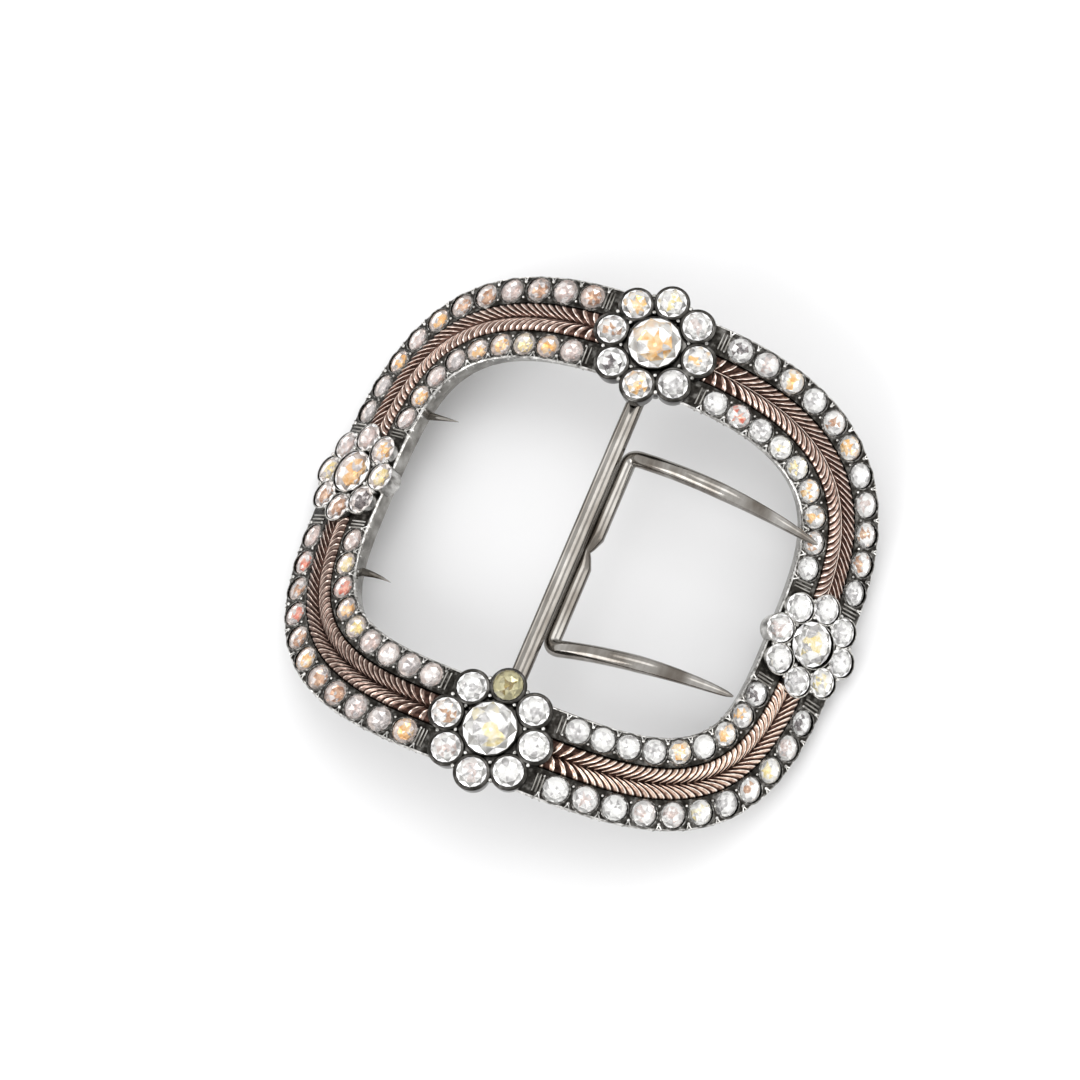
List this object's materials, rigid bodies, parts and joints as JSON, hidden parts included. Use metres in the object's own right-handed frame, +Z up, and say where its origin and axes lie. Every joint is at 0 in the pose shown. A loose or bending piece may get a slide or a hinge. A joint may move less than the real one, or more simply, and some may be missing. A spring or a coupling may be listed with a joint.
{
  "type": "shoe buckle",
  "caption": "Arched silver shoe buckle set with round pastes in two rows and four rosettes, with rose-gold leaf bands, a bar and a hinged two-pronged fork.",
  "frame": {"origin": "centre of the surface that the buckle lies on, under the middle of its box", "axes": "+X across the foot towards the side that the fork points to, +Y along the bar, +Z up"},
  "size_m": [0.0752, 0.071, 0.0189],
  "materials": {
    "setting_silver": "oxidised silver, dark in the recesses and bright on the worn edges",
    "leaf_gold": "chased rose gold, bright on the ridges and brown between them",
    "pin_steel": "worn polished metal with a brown bloom",
    "paste": "foil-backed cut glass, clear with warm reflections",
    "olive_paste": "foil-backed cut glass, discoloured olive yellow"
  },
  "bodies": {
    "setting": {"frame": "setting_silver", "leaf_band_north_east": "leaf_gold", "leaf_band_south_east": "leaf_gold", "leaf_band_south_west": "leaf_gold", "leaf_band_north_west": "leaf_gold", "rosette_north_centre": "paste", "rosette_north_petal_1": "paste", "rosette_north_petal_2": "paste", "rosette_north_petal_3": "paste", "rosette_north_petal_4": "paste", "rosette_north_petal_5": "paste", "rosette_north_petal_6": "paste", "rosette_north_petal_7": "paste", "rosette_north_petal_8": "paste", "rosette_east_centre": "paste", "rosette_east_petal_1": "paste", "rosette_east_petal_2": "paste", "rosette_east_petal_3": "paste", "rosette_east_petal_4": "paste", "rosette_east_petal_5": "paste", "rosette_east_petal_6": "paste", "rosette_east_petal_7": "paste", "rosette_east_petal_8": "paste", "rosette_south_centre": "paste", "rosette_south_petal_1": "olive_paste", "rosette_south_petal_2": "paste", "rosette_south_petal_3": "paste", "rosette_south_petal_4": "paste", "rosette_south_petal_5": "paste", "rosette_south_petal_6": "paste", "rosette_south_petal_7": "paste", "rosette_south_petal_8": "paste", "rosette_west_centre": "paste", "rosette_west_petal_1": "paste", "rosette_west_petal_2": "paste", "rosette_west_petal_3": "paste", "rosette_west_petal_4": "paste", "rosette_west_petal_5": "paste", "rosette_west_petal_6": "paste", "rosette_west_petal_7": "paste", "rosette_west_petal_8": "paste"},
    "tongue": {"bar": "pin_steel", "fork": "pin_steel"}
  },
  "joints": [
    {"name": "fork_swing", "type": "hinge", "parent": "setting", "child": "tongue", "pos_m": [0, 0, 0.01331], "axis": [0, -1, 0], "range_deg": [0, 180]}
  ]
}
